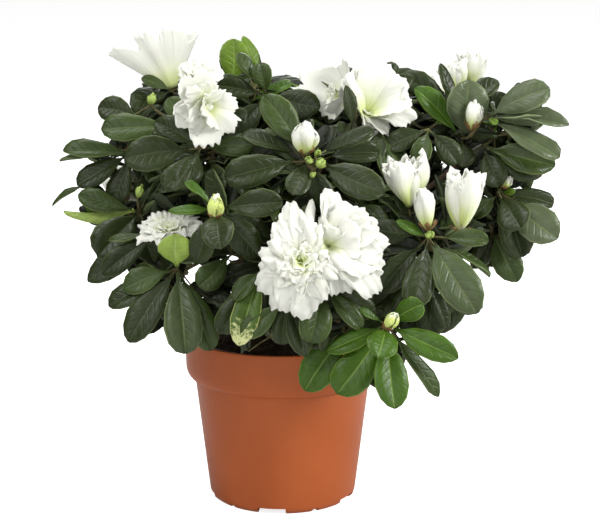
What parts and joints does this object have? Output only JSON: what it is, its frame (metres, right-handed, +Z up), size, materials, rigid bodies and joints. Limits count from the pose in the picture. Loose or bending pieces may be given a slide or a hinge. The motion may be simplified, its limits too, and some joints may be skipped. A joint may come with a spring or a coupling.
{
  "type": "potted azalea shrub",
  "caption": "Bushy evergreen azalea with glossy oval leaves and white double blossom, in a round tapered plastic nursery pot of dark compost.",
  "frame": {"origin": "centre of the pot's underside, on the floor", "axes": "+Z up; -Y is the side that faces the viewer; +X to the viewer's right, where the branches reach furthest"},
  "size_m": [0.336, 0.2915, 0.307],
  "materials": {
    "pot": "smooth satin moulded plastic in terracotta orange-brown",
    "compost": null,
    "bark": "thin grey-brown bark with fine lengthwise cracks",
    "leaves": null,
    "petals": null
  },
  "bodies": {
    "root": {"pot": "pot", "compost": "compost", "stem": "bark", "foliage_front_left_low": "leaves", "foliage_left_middle": "leaves", "foliage_left_upper": "leaves", "foliage_top_left": "leaves", "foliage_top_centre_left": "leaves", "foliage_front_left_upper": "leaves", "foliage_front_centre_left": "leaves", "foliage_front_centre_upper": "leaves", "foliage_top_centre": "leaves", "foliage_front_centre": "leaves", "foliage_front_low": "leaves", "foliage_front_right_low": "leaves", "foliage_right_front": "leaves", "foliage_right_middle": "leaves", "foliage_right_upper": "leaves", "foliage_top_right": "leaves", "foliage_back_left_low": "leaves", "foliage_back_left_upper": "leaves", "foliage_back_centre_low": "leaves", "foliage_back_centre_upper": "leaves", "foliage_back_right_low": "leaves", "foliage_back_right_upper": "leaves", "bough_front_left_low": "bark", "bough_left_middle": "bark", "bough_left_upper": "bark", "bough_top_left": "bark", "bough_front_left_upper": "bark", "bough_front_centre_upper": "bark", "bough_top_centre": "bark", "bough_front_centre": "bark", "bough_front_right_low": "bark", "bough_right_front": "bark", "bough_right_middle": "bark", "bough_right_upper": "bark", "bough_back_left_low": "bark", "bough_back_centre_low": "bark", "bough_back_centre_upper": "bark", "bough_back_right_low": "bark"}
  },
  "joints": []
}
